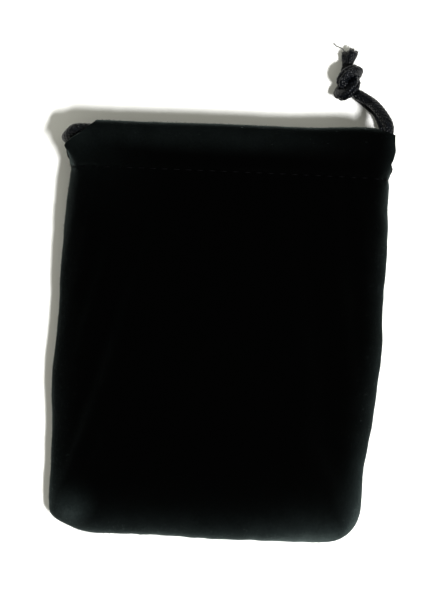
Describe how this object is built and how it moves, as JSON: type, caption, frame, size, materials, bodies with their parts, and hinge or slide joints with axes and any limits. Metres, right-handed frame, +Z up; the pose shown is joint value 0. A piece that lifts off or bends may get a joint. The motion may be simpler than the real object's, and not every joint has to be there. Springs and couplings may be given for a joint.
{
  "type": "drawstring dice bag",
  "caption": "Small flat velvet pouch: two sewn panels, a hem at each side of the mouth, and a braided drawcord through both hems, knotted beside the mouth.",
  "frame": {"origin": "under the middle of the bag, on the surface that its back panel lies on; the free end of the cord is not counted", "axes": "+Y from the bottom seam to the mouth, +X to the side where the drawcord leaves the hems, +Z up through the front panel"},
  "size_m": [0.0726, 0.1075, 0.0128],
  "materials": {
    "velvet": "short black pile, soft sheen at grazing angles",
    "velvet_reverse": "plain knitted backing, matt",
    "sewing_thread": "spun thread, matt",
    "cord": "round braid of smooth yarn, slight sheen"
  },
  "bodies": {
    "bag": {"front_panel": "velvet", "back_panel": "velvet", "front_hem": "velvet", "back_hem": "velvet", "left_seam_allowance": "velvet_reverse", "right_seam_allowance": "velvet_reverse", "bottom_seam_allowance": "velvet_reverse", "left_seam_thread": "sewing_thread", "right_seam_thread": "sewing_thread", "bottom_seam_thread": "sewing_thread", "front_hem_thread": "sewing_thread", "back_hem_thread": "sewing_thread"},
    "drawcord": {"cord_front_run": "cord", "cord_back_run": "cord", "cord_left_bend": "cord"},
    "tail": {"cord_front_tail": "cord", "cord_back_tail": "cord", "knot": "cord", "cord_front_end": "cord", "cord_back_end": "cord"}
  },
  "joints": [
    {"name": "drawcord_pull", "type": "slide", "parent": "bag", "child": "drawcord", "axis": [1, 0, 0], "range_m": [0, 0.038], "deforming": ["front_hem", "back_hem", "front_hem_thread", "back_hem_thread"]},
    {"name": "tail_swing", "type": "hinge", "parent": "drawcord", "child": "tail", "pos_m": [0.03475, 0.04525, 0], "axis": [0, 0, 1], "range_deg": [-110, 20]}
  ]
}
